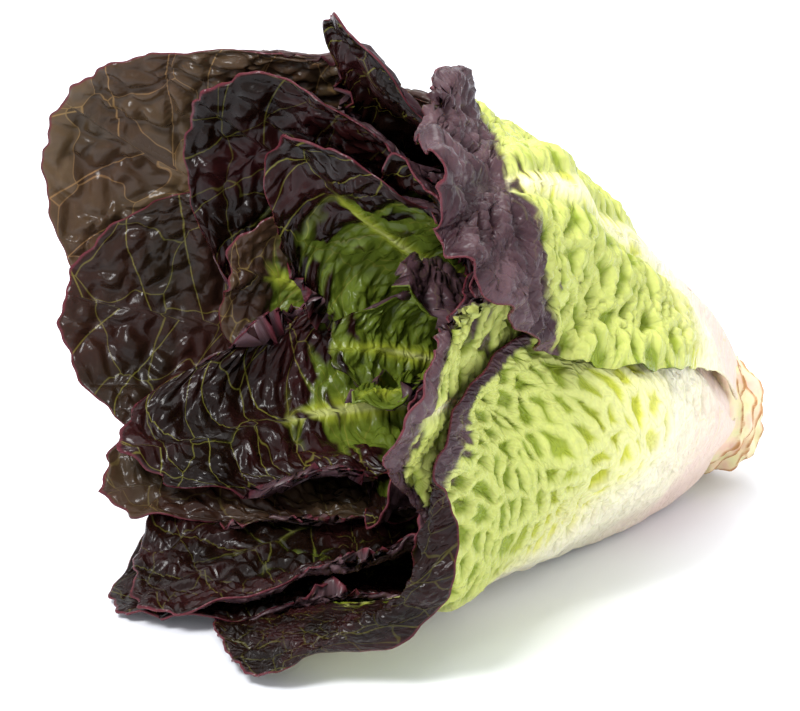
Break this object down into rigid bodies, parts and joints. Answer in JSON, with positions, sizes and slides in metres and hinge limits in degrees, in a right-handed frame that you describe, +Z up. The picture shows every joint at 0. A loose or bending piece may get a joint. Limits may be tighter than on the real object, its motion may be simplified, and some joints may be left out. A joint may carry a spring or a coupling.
{
  "type": "romaine lettuce head",
  "caption": "Red-leaved romaine lettuce head lying on its side: nested cupped leaves with thick midribs round a pale cut stem, resting on its outer leaf.",
  "frame": {"origin": "middle of the bottom of the head's box, on the surface that it lies on", "axes": "+X towards the cut stem end, +Y to the head's back, +Z up"},
  "size_m": [0.1952, 0.1714, 0.1473],
  "materials": {
    "red_leaf": "waxy gloss inside, paler and satin outside",
    "green_leaf": "waxy satin",
    "pale_stem": "matt cut face, browned by air"
  },
  "bodies": {
    "root": {"outer_leaf_1": "red_leaf", "outer_leaf_2": "red_leaf", "outer_leaf_3": "red_leaf", "outer_leaf_4": "red_leaf", "outer_leaf_5": "red_leaf", "outer_leaf_6": "red_leaf", "middle_leaf_1": "red_leaf", "middle_leaf_2": "red_leaf", "middle_leaf_3": "red_leaf", "middle_leaf_4": "red_leaf", "middle_leaf_5": "red_leaf", "middle_leaf_6": "red_leaf", "middle_leaf_7": "red_leaf", "middle_leaf_8": "red_leaf", "inner_leaf_1": "red_leaf", "inner_leaf_2": "red_leaf", "inner_leaf_3": "red_leaf", "inner_leaf_4": "red_leaf", "inner_leaf_5": "red_leaf", "inner_leaf_6": "red_leaf", "heart_leaf_1": "green_leaf", "heart_leaf_2": "green_leaf", "heart_leaf_3": "green_leaf", "stem_butt": "pale_stem"}
  },
  "joints": []
}
